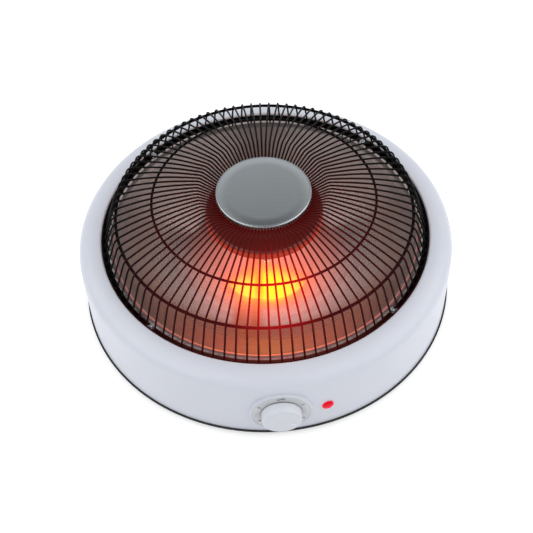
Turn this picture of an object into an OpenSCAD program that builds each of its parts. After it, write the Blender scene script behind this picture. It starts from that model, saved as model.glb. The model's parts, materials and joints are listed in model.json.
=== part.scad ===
// Round electric brazier: white drum, reflector bowl, face-down element and a domed wire guard.
// Front is -Y, where the dial is. The origin is on the floor, under the centre.
// Azimuth turns from the front towards +X, so 90 is the right side and 180 the back.

/* [Base] */
// Outer radius of the black base plate, half of the overall width
base_r = 200; // [190:1:210]
// Thickness of the base plate
base_t = 1.6; // [1.2:0.1:2.4]
// How far the base plate stands out past the drum
base_lip = 1.8; // [1:0.1:3]
// Height of the stiffening bead pressed up in the base plate
bead_h = 2.5; // [1.5:0.5:3]
// Height of a rubber foot under the base plate
foot_h = 6; // [4:0.5:12]
// Radius of a rubber foot where it meets the base plate
foot_r = 10; // [8:0.5:12]
// Distance of the feet's centres from the edge of the base plate
foot_inset = 40; // [30:1:50]

/* [Drum] */
// Height of the drum above the base plate
drum_h = 81.5; // [74:0.5:88]
// Thickness of the drum's sheet
drum_t = 1; // [0.8:0.1:1.4]
// How much the drum's wall leans in from its foot to its shoulder
drum_lean = 1.4; // [1:0.2:5]
// Width of the rounded shoulder
shoulder_w = 22.5; // [16:0.5:25]
// Height of the rounded shoulder
shoulder_h = 14; // [10:0.5:18]
// Radius of the rolled edge round the mouth
mouth_roll = 2; // [1.6:0.2:3]
// Depth of the inner seat below the top of the drum
seat_drop = 6; // [5:0.5:9]
// Width of the inner seat that carries reflector and guard
seat_w = 8.5; // [8:0.5:10]
// Width of the foot flange that the base screws go into
foot_flange_w = 12; // [10:0.5:14]

/* [Reflector] */
// Thickness of the reflector's sheet
dish_t = 0.8; // [0.6:0.1:1]
// Height of the reflector's floor above the base plate
dish_floor_h = 21; // [19:0.5:26]
// Radius of the reflector's flat floor
dish_floor_r = 51.5; // [50:0.5:58]
// Slope of the bowl where it leaves the floor, in degrees
dish_slope = 7; // [2:1:12]
// Width of the flat rim outside the bowl
dish_rim_w = 8.5; // [8.2:0.1:11]
// Radius of the rounded edge between bowl and rim
dish_edge_r = 11; // [6:0.5:14]

/* [Guard] */
// Number of radial wires
wire_count = 96; // [64:2:100]
// Radius of a radial wire
wire_r = 1; // [0.8:0.1:1.2]
// Angle from the front to the first wire, in degrees
wire_phase = 1.3; // [0:0.1:3.7]
// Height of the guard's shoulder above the seat
guard_side_h = 38.2; // [34:0.2:44]
// How much the guard's side leans in from the band to the shoulder
guard_lean = 13.7; // [9:0.1:16]
// Radius of the bend at the guard's shoulder
guard_bend = 14; // [8:1:18]
// Radius at which the middle ring sits
crown_r = 115.5; // [105:0.5:122]
// Height of the crown over the shoulder at the middle ring
crown_h = 17.3; // [14:0.1:22]
// How far the highest point of the wires lies outside the cap
kink_out = 17.5; // [16:0.5:24]
// Height of the wires' highest point over the crown
kink_h = 7; // [5:0.5:9]
// Depth of the dimple that the cap lies in
hub_dip = 10; // [8:0.5:13]
// Radius of the middle ring's wire
mid_wire_r = 1.3; // [1:0.1:1.6]
// Radius of the shoulder ring's wire
shoulder_wire_r = 1.6; // [1.2:0.1:2]
// Height of the black band round the guard's foot
band_h = 3.5; // [3:0.5:6]
// Thickness of the band
band_t = 1.2; // [1:0.1:1.6]

/* [Cap and shade] */
// Radius of the steel cap
cap_r = 49; // [44:0.2:54]
// Height of the cap's rolled edge
cap_h = 5.5; // [4.5:0.5:7]
// Thickness of the cap's sheet
cap_t = 0.8; // [0.6:0.1:1]
// Radius of the shade pan over the element
shade_r = 60.8; // [56:0.2:64]
// Depth of the shade pan's lip
shade_lip = 10.5; // [8:0.5:12]
// Distance from the hub plate down to the shade pan
shade_drop = 16.5; // [14:0.5:20]
// Radius of the hub plate under the wires' inner ends
hub_r = 42; // [38:0.5:43]

/* [Element] */
// Radius of the element's tube
tube_r = 4; // [3:0.25:4.5]
// Radius of the element's outer loop
loop_out_r = 43; // [40:0.5:44]
// Radius of the element's inner loop
loop_in_r = 22; // [20:0.5:24]
// Distance from the shade pan's top down to the element's centre line
element_drop = 8.25; // [8:0.25:9]
// Thickness of the ceramic disc behind the element
disc_t = 2.5; // [2:0.25:3]

/* [Controls] */
// Height of the dial's centre above the base plate
dial_h = 34; // [31:0.5:38]
// Radius of the dial plate
dial_r = 30.6; // [28:0.2:31]
// How far the dial plate stands out of the drum
dial_out = 2.2; // [2:0.1:4]
// Depth of the dial plate's face inside its rim
dial_recess = 0.9; // [0.5:0.1:1.2]
// Radius of the knob at its foot
knob_r = 19.9; // [18:0.1:22]
// Height of the knob
knob_h = 10; // [9:0.5:14]
// Angle of the knob's pointer from the top, clockwise from the front, in degrees
knob_turn = 120; // [0:60:300]
// Radius of the pilot lamp's lens
lamp_r = 5.75; // [5:0.25:7]
// Azimuth of the pilot lamp, in degrees
lamp_azimuth = 13.4; // [12:0.1:20]
// Height of the pilot lamp above the base plate
lamp_h = 31.5; // [20:0.5:40]
// Radius of the hole for the mains cord
cord_hole_r = 3.8; // [3:0.1:4.5]
// Height of the cord gland above the base plate
gland_h = 20; // [14:0.5:26]

/* [Hidden] */
$fn = 96;
eps = 0.01;
fit = 0.1;              // gap left round pieces that sit in holes
touch = 0.05;           // gap left at welds and seats on round faces
run = 0.05;             // radial running clearance of the shaft

base_z = foot_h;
floor_z = base_z + base_t;
drum_foot_r = base_r - base_lip;
drum_top_z = floor_z + drum_h;
shoulder_r = drum_foot_r - drum_lean;
shoulder_z = drum_top_z - shoulder_h;
roll_centre_r = shoulder_r - shoulder_w;
mouth_r = roll_centre_r - mouth_roll;
seat_z = drum_top_z - seat_drop;
lean_angle = atan((drum_foot_r - shoulder_r) / (shoulder_z - floor_z));
function wall_r(z) = drum_foot_r - (z - floor_z) * tan(lean_angle);

rim_top_z = seat_z + dish_t;
rim_r = mouth_r - 0.4;
rim_in_r = rim_r - dish_rim_w;
dish_z = floor_z + dish_floor_h;

band_r = mouth_r - 0.7;
band_z = rim_top_z;
wire_foot = [band_r - band_t - wire_r - touch, band_z + 0.5];
wire_step = 360 / wire_count;
shoulder_pt = [wire_foot[0] - guard_lean, seat_z + guard_side_h];
crown_pt = [crown_r, shoulder_pt[1] + crown_h];
kink_pt = [cap_r + kink_out, crown_pt[1] + kink_h];
hub_pt = [cap_r + 1.5, kink_pt[1] - hub_dip];
hub_end = [max(hub_r - 8, wire_count * (wire_r + fit) / PI), hub_pt[1]];

hub_t = 1.2;
hub_top_z = hub_pt[1] - wire_r - touch;
hub_z = hub_top_z - hub_t;
cap_top_z = hub_pt[1] + cap_h + cap_t;
shade_z = hub_z - shade_drop;
shade_t = 0.8;
bolt_r = 2.5;
disc_z = shade_z - shade_t - disc_t;

element_z = shade_z - element_drop;
element_bend = 2 * tube_r;
leg_azimuth = 200;
turn_azimuth = 160;
collar_h = 2;
insulator_h = 3;
leg_end_z = dish_z - 8.5;

pillar_r = 9;
pillar_neck_r = 6;
shield_gap = 6;
shield_z = floor_z + shield_gap;
shield_t = 0.6;
shield_rim_h = 5;
block_w = 34;
block_d = 14;
block_h = 11;
block_y = drum_foot_r - drum_t - foot_flange_w - 28.2 - block_d / 2;
shield_r = block_y - block_d / 2 - 7;
foot_ring_r = base_r - foot_inset;

dial_z = floor_z + dial_h;
dial_face = wall_r(dial_z) + dial_out;
dial_back = wall_r(dial_z) - 6;
dial_rim = 2.2;
boss_r = 19.6;
shaft_r = 3;
bush_r = 5;
switch_w = 34;
switch_d = 26;
switch_screw_x = 12.2;
knob_gap = 0.4;
pointer_h = 0.5;
knob_foot = dial_face - dial_recess + knob_gap;
knob_face = knob_foot + knob_h + pointer_h;
lamp_z = floor_z + lamp_h;
lamp_wall = wall_r(lamp_z);
lens_out = lamp_r * tan(lean_angle) + touch;
gland_z = floor_z + gland_h;
gland_wall = wall_r(gland_z);
gland_flange_r = cord_hole_r + 5.5;
gland_flange_out = gland_flange_r * tan(lean_angle) + touch;
gland_end = knob_face;

base_screw_ring_r = drum_foot_r - drum_t - foot_flange_w / 2;
base_screws_n = 6;
clip_screw_ring_r = band_r - band_t - 4.1;
// A clip sits midway between two wires, as near as that comes to its quarter of the band.
clip_azimuths = [for (a = [45, 135, 225, 315])
    wire_phase + (floor((a - wire_phase) / wire_step) + 0.5) * wire_step];
feet_azimuths = [30, 150, 210, 330];

// Helpers

module at(azimuth, r = 0, z = 0) { rotate([0, 0, azimuth]) translate([0, -r, z]) children(); }

function arc(centre, rx, ry, from, to, steps) =
    [for (i = [0:steps]) let (a = from + (to - from) * i / steps)
        [centre[0] + rx * cos(a), centre[1] + ry * sin(a)]];

function flip(list) = [for (i = [len(list) - 1:-1:0]) list[i]];

function lower(list, by) = [for (p = list) [p[0], p[1] - by]];

// Lies along -Y: z of the child becomes the way out through the drum's wall.
module outward() { rotate([90, 0, 0]) children(); }

function polar(azimuth, r, z) = [r * sin(azimuth), -r * cos(azimuth), z];

function unit(v) = v / norm(v);

// One closed tube along a route, with a ring of `sides` corners and its own radius at each point.
module sweep(route, radii, sides) {
    last = len(route) - 1;
    ways = [for (i = [0:last]) unit(route[min(i + 1, last)] - route[max(i - 1, 0)])];
    first_up = unit(cross(ways[0], abs(ways[0][2]) > 0.7 ? [1, 0, 0] : [0, 0, 1]));
    ups = [for (i = 0, up = first_up; i <= last;
        i = i + 1, up = i <= last ? unit(up - (up * ways[i]) * ways[i]) : up) up];
    polyhedron(
        [for (i = [0:last], j = [0:sides - 1]) let (a = 360 * j / sides)
            route[i] + radii[i] * (cos(a) * ups[i] + sin(a) * cross(ways[i], ups[i]))],
        concat(
            [[for (j = [0:sides - 1]) j]],
            [for (i = [0:last - 1], j = [0:sides - 1]) let (k = (j + 1) % sides, n = i * sides)
                [n + j, n + sides + j, n + sides + k, n + k]],
            [[for (j = [sides - 1:-1:0]) last * sides + j]]));
}

// A route whose corners are rounded, each from `reach` before it to `reach` after it.
function rounded(points, reach) = let (last = len(points) - 1) concat(
    [points[0]],
    [for (i = [1:last - 1])
        let (back = points[i - 1] - points[i], on = points[i + 1] - points[i],
            reach_back = min(reach, norm(back) * 0.45), reach_on = min(reach, norm(on) * 0.45))
        for (t = [0:0.25:1])
            points[i] + pow(1 - t, 2) * reach_back * unit(back) + t * t * reach_on * unit(on)],
    [points[last]]);

// A screw with a domed pan head, its seat at z = 0 and its shank going down.
module pan_screw(head_r, head_h, shank_r, length) {
    rotate_extrude()
        polygon(concat(
            [[0, -length], [shank_r, -length], [shank_r, 0], [head_r, 0]],
            arc([head_r * 0.6, head_h * 0.45], head_r * 0.4, head_h * 0.55, 0, 90, 4),
            [[0, head_h]]));
}

module cross_slot(head_h, reach) {
    for (turn = [0, 90]) rotate([0, 0, turn])
        translate([-reach, -0.5, head_h * 0.5]) cube([2 * reach, 1, head_h]);
}

module cross_screw(head_r, head_h, shank_r, length) {
    difference() {
        pan_screw(head_r, head_h, shank_r, length);
        cross_slot(head_h, head_r * 0.6);
    }
}

// Base

module base_plate() color([0.06, 0.06, 0.07]) {
    bead_out = shield_r - 12;
    bead_in = bead_out - 16;
    slope = 4;
    top = [[0, 0], [bead_in, 0], [bead_in + slope, bead_h], [bead_out - slope, bead_h],
        [bead_out, 0], [base_r, 0]];
    difference() {
        translate([0, 0, floor_z]) rotate_extrude() polygon(concat(top, flip(lower(top, base_t))));
        for (i = [0:base_screws_n - 1])
            at(i * 360 / base_screws_n + 30, base_screw_ring_r, base_z - 1)
                cylinder(h = base_t + 2, r = 2.2);
        for (a = feet_azimuths) at(a, foot_ring_r, base_z - 1) cylinder(h = base_t + 2, r = 3.5 + fit);
        translate([0, 0, base_z - 1]) cylinder(h = base_t + 2, r = 2.2);
    }
}

module feet() color([0.1, 0.1, 0.1])
    for (a = feet_azimuths) at(a, foot_ring_r)
        rotate_extrude() polygon([
            [0, 0], [foot_r - 2, 0], [foot_r - 1.2, 0.8], [foot_r, foot_h], [3.5, foot_h],
            [3.5, floor_z + fit], [4.4, floor_z + fit], [3.2, floor_z + 2.4], [0, floor_z + 2.4]
        ]);

module base_screws() color([0.6, 0.6, 0.62])
    for (i = [0:base_screws_n - 1])
        at(i * 360 / base_screws_n + 30, base_screw_ring_r, base_z)
            rotate([180, 0, 0]) cross_screw(3.6, 2.2, 1.5, 8);

module centre_pillar() color([0.72, 0.72, 0.74])
    difference() {
        union() {
            translate([0, 0, floor_z]) cylinder(h = shield_gap, r = pillar_r);
            translate([0, 0, floor_z]) cylinder(h = dish_floor_h - dish_t, r = pillar_neck_r);
        }
        translate([0, 0, floor_z - 1]) cylinder(h = dish_floor_h + 2, r = 2);
    }

module pillar_screw() color([0.6, 0.6, 0.62])
    translate([0, 0, base_z]) rotate([180, 0, 0]) cross_screw(4, 2.4, 1.9, 8);

module heat_shield() color([0.7, 0.71, 0.72])
    translate([0, 0, shield_z])
        difference() {
            rotate_extrude() polygon([
                [pillar_neck_r + fit, 0], [shield_r - 3, 0], [shield_r, shield_rim_h - 1],
                [shield_r, shield_rim_h], [shield_r - shield_t, shield_rim_h],
                [shield_r - 3 - shield_t / 2, shield_t], [pillar_neck_r + fit, shield_t]
            ]);
            at(cutout_azimuth, cutout_at) for (x = [-cutout_screw_x, cutout_screw_x])
                translate([x, 0, -1]) cylinder(h = shield_t + 2, r = 1.4 + touch);
        }

module shield_washer() color([0.6, 0.6, 0.62])
    translate([0, 0, shield_z + shield_t]) difference() {
        cylinder(h = 0.8, r = 10);
        translate([0, 0, -1]) cylinder(h = 3, r = pillar_neck_r + touch);
    }

// Drum

module drum() color([0.93, 0.94, 0.96])
    difference() {
        rotate_extrude() polygon(concat(
            [[drum_foot_r, floor_z]],
            arc([roll_centre_r, shoulder_z], shoulder_w, shoulder_h, 0, 90, 16),
            arc([roll_centre_r, drum_top_z - mouth_roll], mouth_roll, mouth_roll, 100, 180, 6),
            [[mouth_r, seat_z], [mouth_r - seat_w, seat_z], [mouth_r - seat_w, seat_z - drum_t],
                [mouth_r + drum_t, seat_z - drum_t]],
            arc([roll_centre_r, drum_top_z - mouth_roll], mouth_roll - drum_t, mouth_roll - drum_t,
                180, 100, 4),
            arc([roll_centre_r, shoulder_z], shoulder_w - drum_t, shoulder_h - drum_t, 90, 0, 16),
            [[drum_foot_r - drum_t, floor_z + drum_t],
                [drum_foot_r - drum_t - foot_flange_w, floor_z + drum_t],
                [drum_foot_r - drum_t - foot_flange_w, floor_z]]));
        translate([0, -dial_back, dial_z]) outward() cylinder(h = 20, r = boss_r + fit);
        at(lamp_azimuth, lamp_wall - 8, lamp_z) outward() cylinder(h = 16, r = lamp_r - 1 + fit);
        at(180, gland_wall - 8, gland_z) outward() cylinder(h = 16, r = cord_hole_r + 3 + fit);
        for (i = [0:base_screws_n - 1])
            at(i * 360 / base_screws_n + 30, base_screw_ring_r, floor_z - 1)
                cylinder(h = drum_t + 2, r = 1.5 + touch);
        for (a = clip_azimuths)
            at(a, clip_screw_ring_r, seat_z - drum_t - 1) cylinder(h = drum_t + 2, r = 1.5 + touch);
    }

// Reflector

bowl_from = [dish_floor_r, dish_z];
edge_turn = 2 * atan2(rim_top_z - dish_z, rim_in_r - dish_floor_r) - dish_slope;
edge_centre = [rim_in_r, rim_top_z - dish_edge_r];
bowl_to = edge_centre + dish_edge_r * [-sin(edge_turn), cos(edge_turn)];
bowl_chord = bowl_to - bowl_from;
bowl_rise = atan2(bowl_chord[1], bowl_chord[0]);
bowl_turn = 2 * (bowl_rise - dish_slope);
bowl_r = norm(bowl_chord) / (2 * sin(bowl_turn / 2));
bowl_centre = bowl_from + bowl_r * [-sin(dish_slope), cos(dish_slope)];

function leg_at(r) = polar(leg_azimuth, r, 0);

module reflector() color([0.8, 0.79, 0.78]) {
    skin = concat(
        [[0, dish_z]],
        arc(bowl_centre, bowl_r, bowl_r, dish_slope - 90, dish_slope - 90 + bowl_turn, 24),
        arc(edge_centre, dish_edge_r, dish_edge_r, 86 + edge_turn, 90, 5),
        [[rim_r, rim_top_z]]);
    difference() {
        rotate_extrude() polygon(concat(skin, flip(lower(skin, dish_t))));
        translate([0, 0, dish_z - 2]) cylinder(h = 4, r = 2.2);
        for (r = [loop_in_r, loop_out_r])
            translate(leg_at(r) + [0, 0, dish_z - 2]) cylinder(h = 4, r = tube_r + 1.5 + fit);
        for (a = clip_azimuths)
            at(a, clip_screw_ring_r, seat_z - 1) cylinder(h = dish_t + 2, r = 2);
    }
}

module reflector_screw() color([0.85, 0.85, 0.86])
    translate([0, 0, dish_z]) cross_screw(4, 2.4, 1.9, 12);

// Element

module element_insulators() color([0.93, 0.91, 0.86])
    for (r = [loop_in_r, loop_out_r]) translate(leg_at(r)) difference() {
        union() {
            translate([0, 0, dish_z]) cylinder(h = insulator_h, r = tube_r + 3);
            translate([0, 0, dish_z - 5]) cylinder(h = 5 + eps, r = tube_r + 1.5);
        }
        translate([0, 0, dish_z - 6]) cylinder(h = 12, r = tube_r + fit);
    }

// Each leg rises through its insulator, bends into its loop and follows it round to the turn that
// joins the two loops.
collar_z = dish_z + insulator_h;
loop_sweep = 360 - (leg_azimuth - turn_azimuth);

function leg_points(r) = [for (z = [leg_end_z, collar_z, collar_z + eps,
    collar_z + collar_h, collar_z + collar_h + eps]) polar(leg_azimuth, r, z)];
leg_radii = [tube_r, tube_r, tube_r + 1.5, tube_r + 1.5, tube_r];

function bend_points(r) = [for (a = [0:15:90]) polar(
    leg_azimuth + element_bend * (1 - cos(a)) / r * 180 / PI, r,
    element_z - element_bend * (1 - sin(a)))];

function loop_points(r) = let (start = leg_azimuth + element_bend / r * 180 / PI)
    [for (i = [1:32]) polar(start + (leg_azimuth + loop_sweep - start) * i / 32, r, element_z)];

module heating_element() color([0.95, 0.45, 0.2]) {
    middle = (loop_in_r + loop_out_r) / 2;
    half = (loop_out_r - loop_in_r) / 2;
    turn_on = [cos(turn_azimuth), sin(turn_azimuth), 0];
    u_turn = [for (a = [15:15:165]) polar(turn_azimuth, middle + half * cos(a), element_z)
        + half * sin(a) * turn_on];
    out = concat(leg_points(loop_out_r), bend_points(loop_out_r), loop_points(loop_out_r));
    back = concat(leg_points(loop_in_r), bend_points(loop_in_r), loop_points(loop_in_r));
    route = concat(out, u_turn, flip(back));
    plain = [for (i = [1:len(back) + len(u_turn) + len(out) - 2 * len(leg_radii)]) tube_r];
    sweep(route, concat(leg_radii, plain, flip(leg_radii)), 12);
}

module terminal_sleeves() color([0.85, 0.85, 0.82])
    for (r = [loop_in_r, loop_out_r]) translate(leg_at(r)) difference() {
        translate([0, 0, leg_end_z - 3]) cylinder(h = 6, r = tube_r + 1);
        translate([0, 0, leg_end_z - eps]) cylinder(h = 8, r = tube_r + touch);
    }

// Shade pan and the bolt that hangs it under the hub

module shade_pan() color([0.55, 0.54, 0.53]) {
    edge = 3;
    skin = concat([[0, shade_z]], arc([shade_r - edge, shade_z - edge], edge, edge, 90, 0, 6),
        [[shade_r, shade_z - shade_lip]]);
    inner = concat([[0, shade_z - shade_t]],
        arc([shade_r - edge, shade_z - edge], edge - shade_t, edge - shade_t, 90, 0, 6),
        [[shade_r - shade_t, shade_z - shade_lip]]);
    difference() {
        rotate_extrude() polygon(concat(skin, flip(inner)));
        translate([0, 0, shade_z - 2]) cylinder(h = 4, r = bolt_r + fit);
    }
}

module refractory_disc() color([0.95, 0.9, 0.8])
    translate([0, 0, disc_z]) difference() {
        cylinder(h = disc_t, r = shade_r - 4);
        translate([0, 0, -1]) cylinder(h = disc_t + 2, r = bolt_r + fit);
    }

module shade_spacer() color([0.75, 0.75, 0.76])
    translate([0, 0, shade_z]) difference() {
        cylinder(h = shade_drop, r = 6);
        translate([0, 0, -1]) cylinder(h = shade_drop + 2, r = bolt_r + fit);
    }

module hub_bolt() color([0.6, 0.6, 0.62])
    translate([0, 0, disc_z]) rotate([180, 0, 0])
        cross_screw(4.6, 2.6, bolt_r, hub_top_z - disc_z + 3.6);

module hub_nut() color([0.6, 0.6, 0.62])
    translate([0, 0, hub_top_z]) difference() {
        cylinder(h = 3, r = 4.6, $fn = 6);
        translate([0, 0, -1]) cylinder(h = 5, r = bolt_r + touch);
    }

module hub_plate() color([0.08, 0.08, 0.09])
    translate([0, 0, hub_z]) difference() {
        cylinder(h = hub_t, r = hub_r);
        translate([0, 0, -1]) cylinder(h = hub_t + 2, r = bolt_r + fit);
    }

module guard_cap() color([0.72, 0.73, 0.74]) {
    edge = 3.4;
    skirt_z = hub_pt[1] + wire_r + 2 * touch;
    skin = concat([[0, cap_top_z + 0.6], [cap_r * 0.5, cap_top_z + 0.45]],
        arc([cap_r - edge, cap_top_z - edge], edge, edge, 85, 0, 8), [[cap_r, skirt_z]]);
    inner = concat([[0, cap_top_z + 0.6 - cap_t], [cap_r * 0.5, cap_top_z + 0.45 - cap_t]],
        arc([cap_r - edge, cap_top_z - edge], edge - cap_t, edge - cap_t, 85, 0, 8),
        [[cap_r - cap_t, skirt_z]]);
    rotate_extrude() polygon(concat(skin, flip(inner)));
    tab_r = hub_r - 18;
    for (a = [0, 120, 240]) at(a, tab_r, hub_top_z)
        cylinder(h = cap_top_z + 0.5 - cap_t / 2 - hub_top_z, r = 2.5);
}

// Wire guard: a wire runs in its own radial plane, with a round bend at each corner of its course

wire_corners = [hub_end, hub_pt, kink_pt, crown_pt, shoulder_pt, wire_foot];
function way(i) = let (d = wire_corners[i + 1] - wire_corners[i]) d / norm(d);
function heading(i) = atan2(way(i)[1], way(i)[0]);
function turn(i) = heading(i) - heading(i - 1);
function span(i) = norm(wire_corners[i + 1] - wire_corners[i]);
crown_bend = 0.8 * min(span(2), span(3)) / tan(abs(turn(3)) / 2);
wire_bends = [0, 6, 8, crown_bend, guard_bend, 0];
bend_steps = [0, 1, 2, 4, 4, 0];
function bend_from(i) = wire_corners[i] - way(i - 1) * wire_bends[i] * tan(abs(turn(i)) / 2);
function side(i) = turn(i) > 0 ? 1 : -1;
function bend_centre(i) =
    bend_from(i) + side(i) * wire_bends[i] * [-way(i - 1)[1], way(i - 1)[0]];
function on_bend(i, a) = bend_centre(i) + side(i) * wire_bends[i] * [sin(a), -cos(a)];

// The course as [point, heading] pairs, and the outline of a wire laid along it
wire_course = concat(
    [[hub_end, heading(0)]],
    [for (i = [1:4], j = [0:bend_steps[i]]) let (a = heading(i - 1) + turn(i) * j / bend_steps[i])
        [on_bend(i, a), a]],
    [[wire_foot, heading(4)]]);
function beside(off) = [for (c = wire_course) c[0] + off * [-sin(c[1]), cos(c[1])]];

module guard_wire()
    rotate([90, 0, 0]) linear_extrude(height = 2 * wire_r, center = true)
        polygon(concat(beside(wire_r), flip(beside(-wire_r))));

module guard_wires() color([0.05, 0.05, 0.06])
    for (i = [0:wire_count - 1]) rotate([0, 0, i * wire_step + wire_phase - 90]) guard_wire();

// A ring lies under the wires, square to them, at the point where it is welded.
module ring_under(point, slope, ring_wire_r) {
    off = wire_r + ring_wire_r + touch;
    rotate_extrude() translate([point[0] + off * sin(slope), point[1] - off * cos(slope)])
        circle(r = ring_wire_r);
}

module guard_middle_ring() color([0.05, 0.05, 0.06]) {
    slope = (heading(2) + heading(3)) / 2;
    ring_under(on_bend(3, slope), slope, mid_wire_r);
}

module guard_shoulder_ring() color([0.05, 0.05, 0.06]) {
    slope = (heading(3) + heading(4)) / 2;
    ring_under(on_bend(4, slope), slope, shoulder_wire_r);
}

module guard_band() color([0.05, 0.05, 0.06])
    rotate_extrude() polygon([[band_r - band_t, band_z], [band_r, band_z],
        [band_r, band_z + band_h], [band_r - band_t, band_z + band_h]]);

clip_t = 1.2;

module guard_clips() color([0.82, 0.82, 0.84])
    for (a = clip_azimuths) at(a, clip_screw_ring_r, rim_top_z) difference() {
        union() {
            translate([-3.5, -4, 0]) cube([7, 6.8, clip_t]);
            translate([-3.5, -4, 0]) cube([7, 1, band_h - 0.3]);
        }
        translate([0, 0, -1]) cylinder(h = 4, r = 1.7);
    }

module clip_screws() color([0.85, 0.85, 0.87])
    for (a = clip_azimuths)
        at(a, clip_screw_ring_r, rim_top_z + clip_t) cross_screw(2.4, 1.8, 1.45, 7);

// Controls

module drum_solid(grow)
    rotate_extrude() polygon(concat([[0, floor_z], [drum_foot_r + grow, floor_z]],
        arc([roll_centre_r, shoulder_z], shoulder_w + grow, shoulder_h + grow, 0, 90, 16),
        [[0, drum_top_z + grow]]));

module dial_plate() color([0.9, 0.91, 0.94])
    difference() {
        union() {
            difference() {
                translate([0, -dial_back, dial_z]) outward() {
                    cylinder(h = dial_face - dial_back - 1, r = dial_r);
                    translate([0, 0, dial_face - dial_back - 1])
                        cylinder(h = 1, r1 = dial_r, r2 = dial_r - 1);
                }
                drum_solid(touch);
            }
            translate([0, -dial_back, dial_z]) outward()
                cylinder(h = dial_face - dial_back - 1, r = boss_r);
        }
        translate([0, -dial_face + dial_recess, dial_z]) outward()
            cylinder(h = 5, r = dial_r - dial_rim);
        translate([0, -dial_back + 1, dial_z]) outward() cylinder(h = 20, r = bush_r + fit);
        for (x = [-switch_screw_x, switch_screw_x])
            translate([x, -dial_back + 1, dial_z]) outward() cylinder(h = 20, r = 1.8);
    }

module switch_screws() color([0.6, 0.6, 0.62])
    for (x = [-switch_screw_x, switch_screw_x])
        translate([x, -dial_face + dial_recess, dial_z]) outward()
            cross_screw(2.8, 1.4, 1.5, dial_face - dial_back + 3);

module rotary_switch() color([0.2, 0.2, 0.22])
    difference() {
        union() {
            translate([-switch_w / 2, -dial_back, dial_z - switch_w / 2])
                cube([switch_w, switch_d, switch_w]);
            translate([0, -dial_back + 1, dial_z]) outward()
                cylinder(h = dial_face - dial_back - dial_recess + 1, r = bush_r);
        }
        translate([0, -dial_back + 14, dial_z]) outward() cylinder(h = 60, r = shaft_r + run);
        for (x = [-switch_screw_x, switch_screw_x])
            translate([x, -dial_back + 6, dial_z]) outward() cylinder(h = 10, r = 1.5 + touch);
    }

module switch_shaft() color([0.75, 0.75, 0.76])
    translate([0, -dial_back + 13.8, dial_z]) outward()
        cylinder(h = knob_face - pointer_h - dial_back + 13.8 - 3, r = shaft_r);

module control_knob() color([0.92, 0.93, 0.95])
    translate([0, -knob_foot, dial_z]) outward() difference() {
        union() {
            rotate_extrude() polygon(concat(
                [[0, 0], [knob_r, 0]],
                arc([knob_r - 2.1, knob_h - 1.4], 1.4, 1.4, 4, 90, 6),
                [[0, knob_h]]));
            rotate([0, 0, -knob_turn]) translate([-0.8, knob_r - 8.6, knob_h - 1])
                cube([1.6, 5.2, 1 + pointer_h]);
        }
        difference() {
            translate([0, 0, -1]) cylinder(h = knob_h - 1, r = knob_r - 2.2);
            translate([0, 0, -2]) cylinder(h = knob_h, r = 6.5);
        }
        translate([0, 0, -1]) cylinder(h = 1.2, r = 6.6);
        translate([0, 0, -1]) cylinder(h = knob_h - 2 + eps, r = shaft_r + touch);
    }

module pilot_lens() color([0.9, 0.05, 0.12])
    at(lamp_azimuth, lamp_wall + lens_out, lamp_z) outward()
        rotate_extrude() polygon(concat([[0, 0], [lamp_r, 0], [lamp_r, 0.8]],
            arc([0, 0.8], lamp_r, 1.9, 10, 90, 8)));

module pilot_holder() color([0.15, 0.15, 0.16])
    at(lamp_azimuth, lamp_wall, lamp_z) outward() {
        translate([0, 0, -22]) cylinder(h = 22 + lens_out - touch, r = lamp_r - 1);
        translate([0, 0, -drum_t - 3.2]) cylinder(h = 2.4, r = lamp_r + 2.4);
    }

module cord_gland() color([0.1, 0.1, 0.11])
    at(180, gland_wall, gland_z) outward() difference() {
        union() {
            translate([0, 0, -16]) cylinder(h = 16 + eps, r = cord_hole_r + 3);
            translate([0, 0, gland_flange_out]) cylinder(h = 2, r = gland_flange_r);
            rotate_extrude() polygon([[0, 0], [cord_hole_r + 3, 0], [cord_hole_r + 3, 5],
                [cord_hole_r + 1.8, gland_end - gland_wall - 1.5],
                [cord_hole_r + 1.2, gland_end - gland_wall], [0, gland_end - gland_wall]]);
        }
        translate([0, 0, -20]) cylinder(h = 60, r = cord_hole_r);
    }

module gland_nut() color([0.1, 0.1, 0.11])
    at(180, gland_wall - drum_t - 4.4, gland_z) outward() difference() {
        cylinder(h = 3.4, r = cord_hole_r + 6, $fn = 6);
        translate([0, 0, -1]) cylinder(h = 6, r = cord_hole_r + 3 + touch);
    }

// Electrical pieces inside

pole_x = 11;
pole_z = floor_z + 6;

module terminal_block() color([0.88, 0.88, 0.84])
    difference() {
        translate([-block_w / 2, block_y - block_d / 2, floor_z]) cube([block_w, block_d, block_h]);
        for (x = [-pole_x, 0, pole_x]) {
            translate([x, block_y, floor_z + 4]) cylinder(h = block_h, r = 2);
            translate([x, block_y - block_d, pole_z]) rotate([-90, 0, 0])
                cylinder(h = 2 * block_d, r = 1.6);
        }
    }

module terminal_screws() color([0.8, 0.7, 0.4])
    for (x = [-pole_x, 0, pole_x]) translate([x, block_y, floor_z + 4]) cylinder(h = 5, r = 1.9);

cutout_azimuth = 100;
cutout_at = shield_r - 41;
cutout_r = 8;
cutout_h = 9;
cutout_tab_t = 1;
cutout_screw_x = 10.5;

module thermal_cutout() color([0.2, 0.2, 0.22])
    at(cutout_azimuth, cutout_at, shield_z + shield_t) difference() {
        union() {
            cylinder(h = cutout_h, r = cutout_r);
            translate([-13, -4, 0]) cube([26, 8, cutout_tab_t]);
        }
        for (x = [-cutout_screw_x, cutout_screw_x])
            translate([x, 0, -1]) cylinder(h = cutout_tab_t + 2, r = 1.6);
    }

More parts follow.
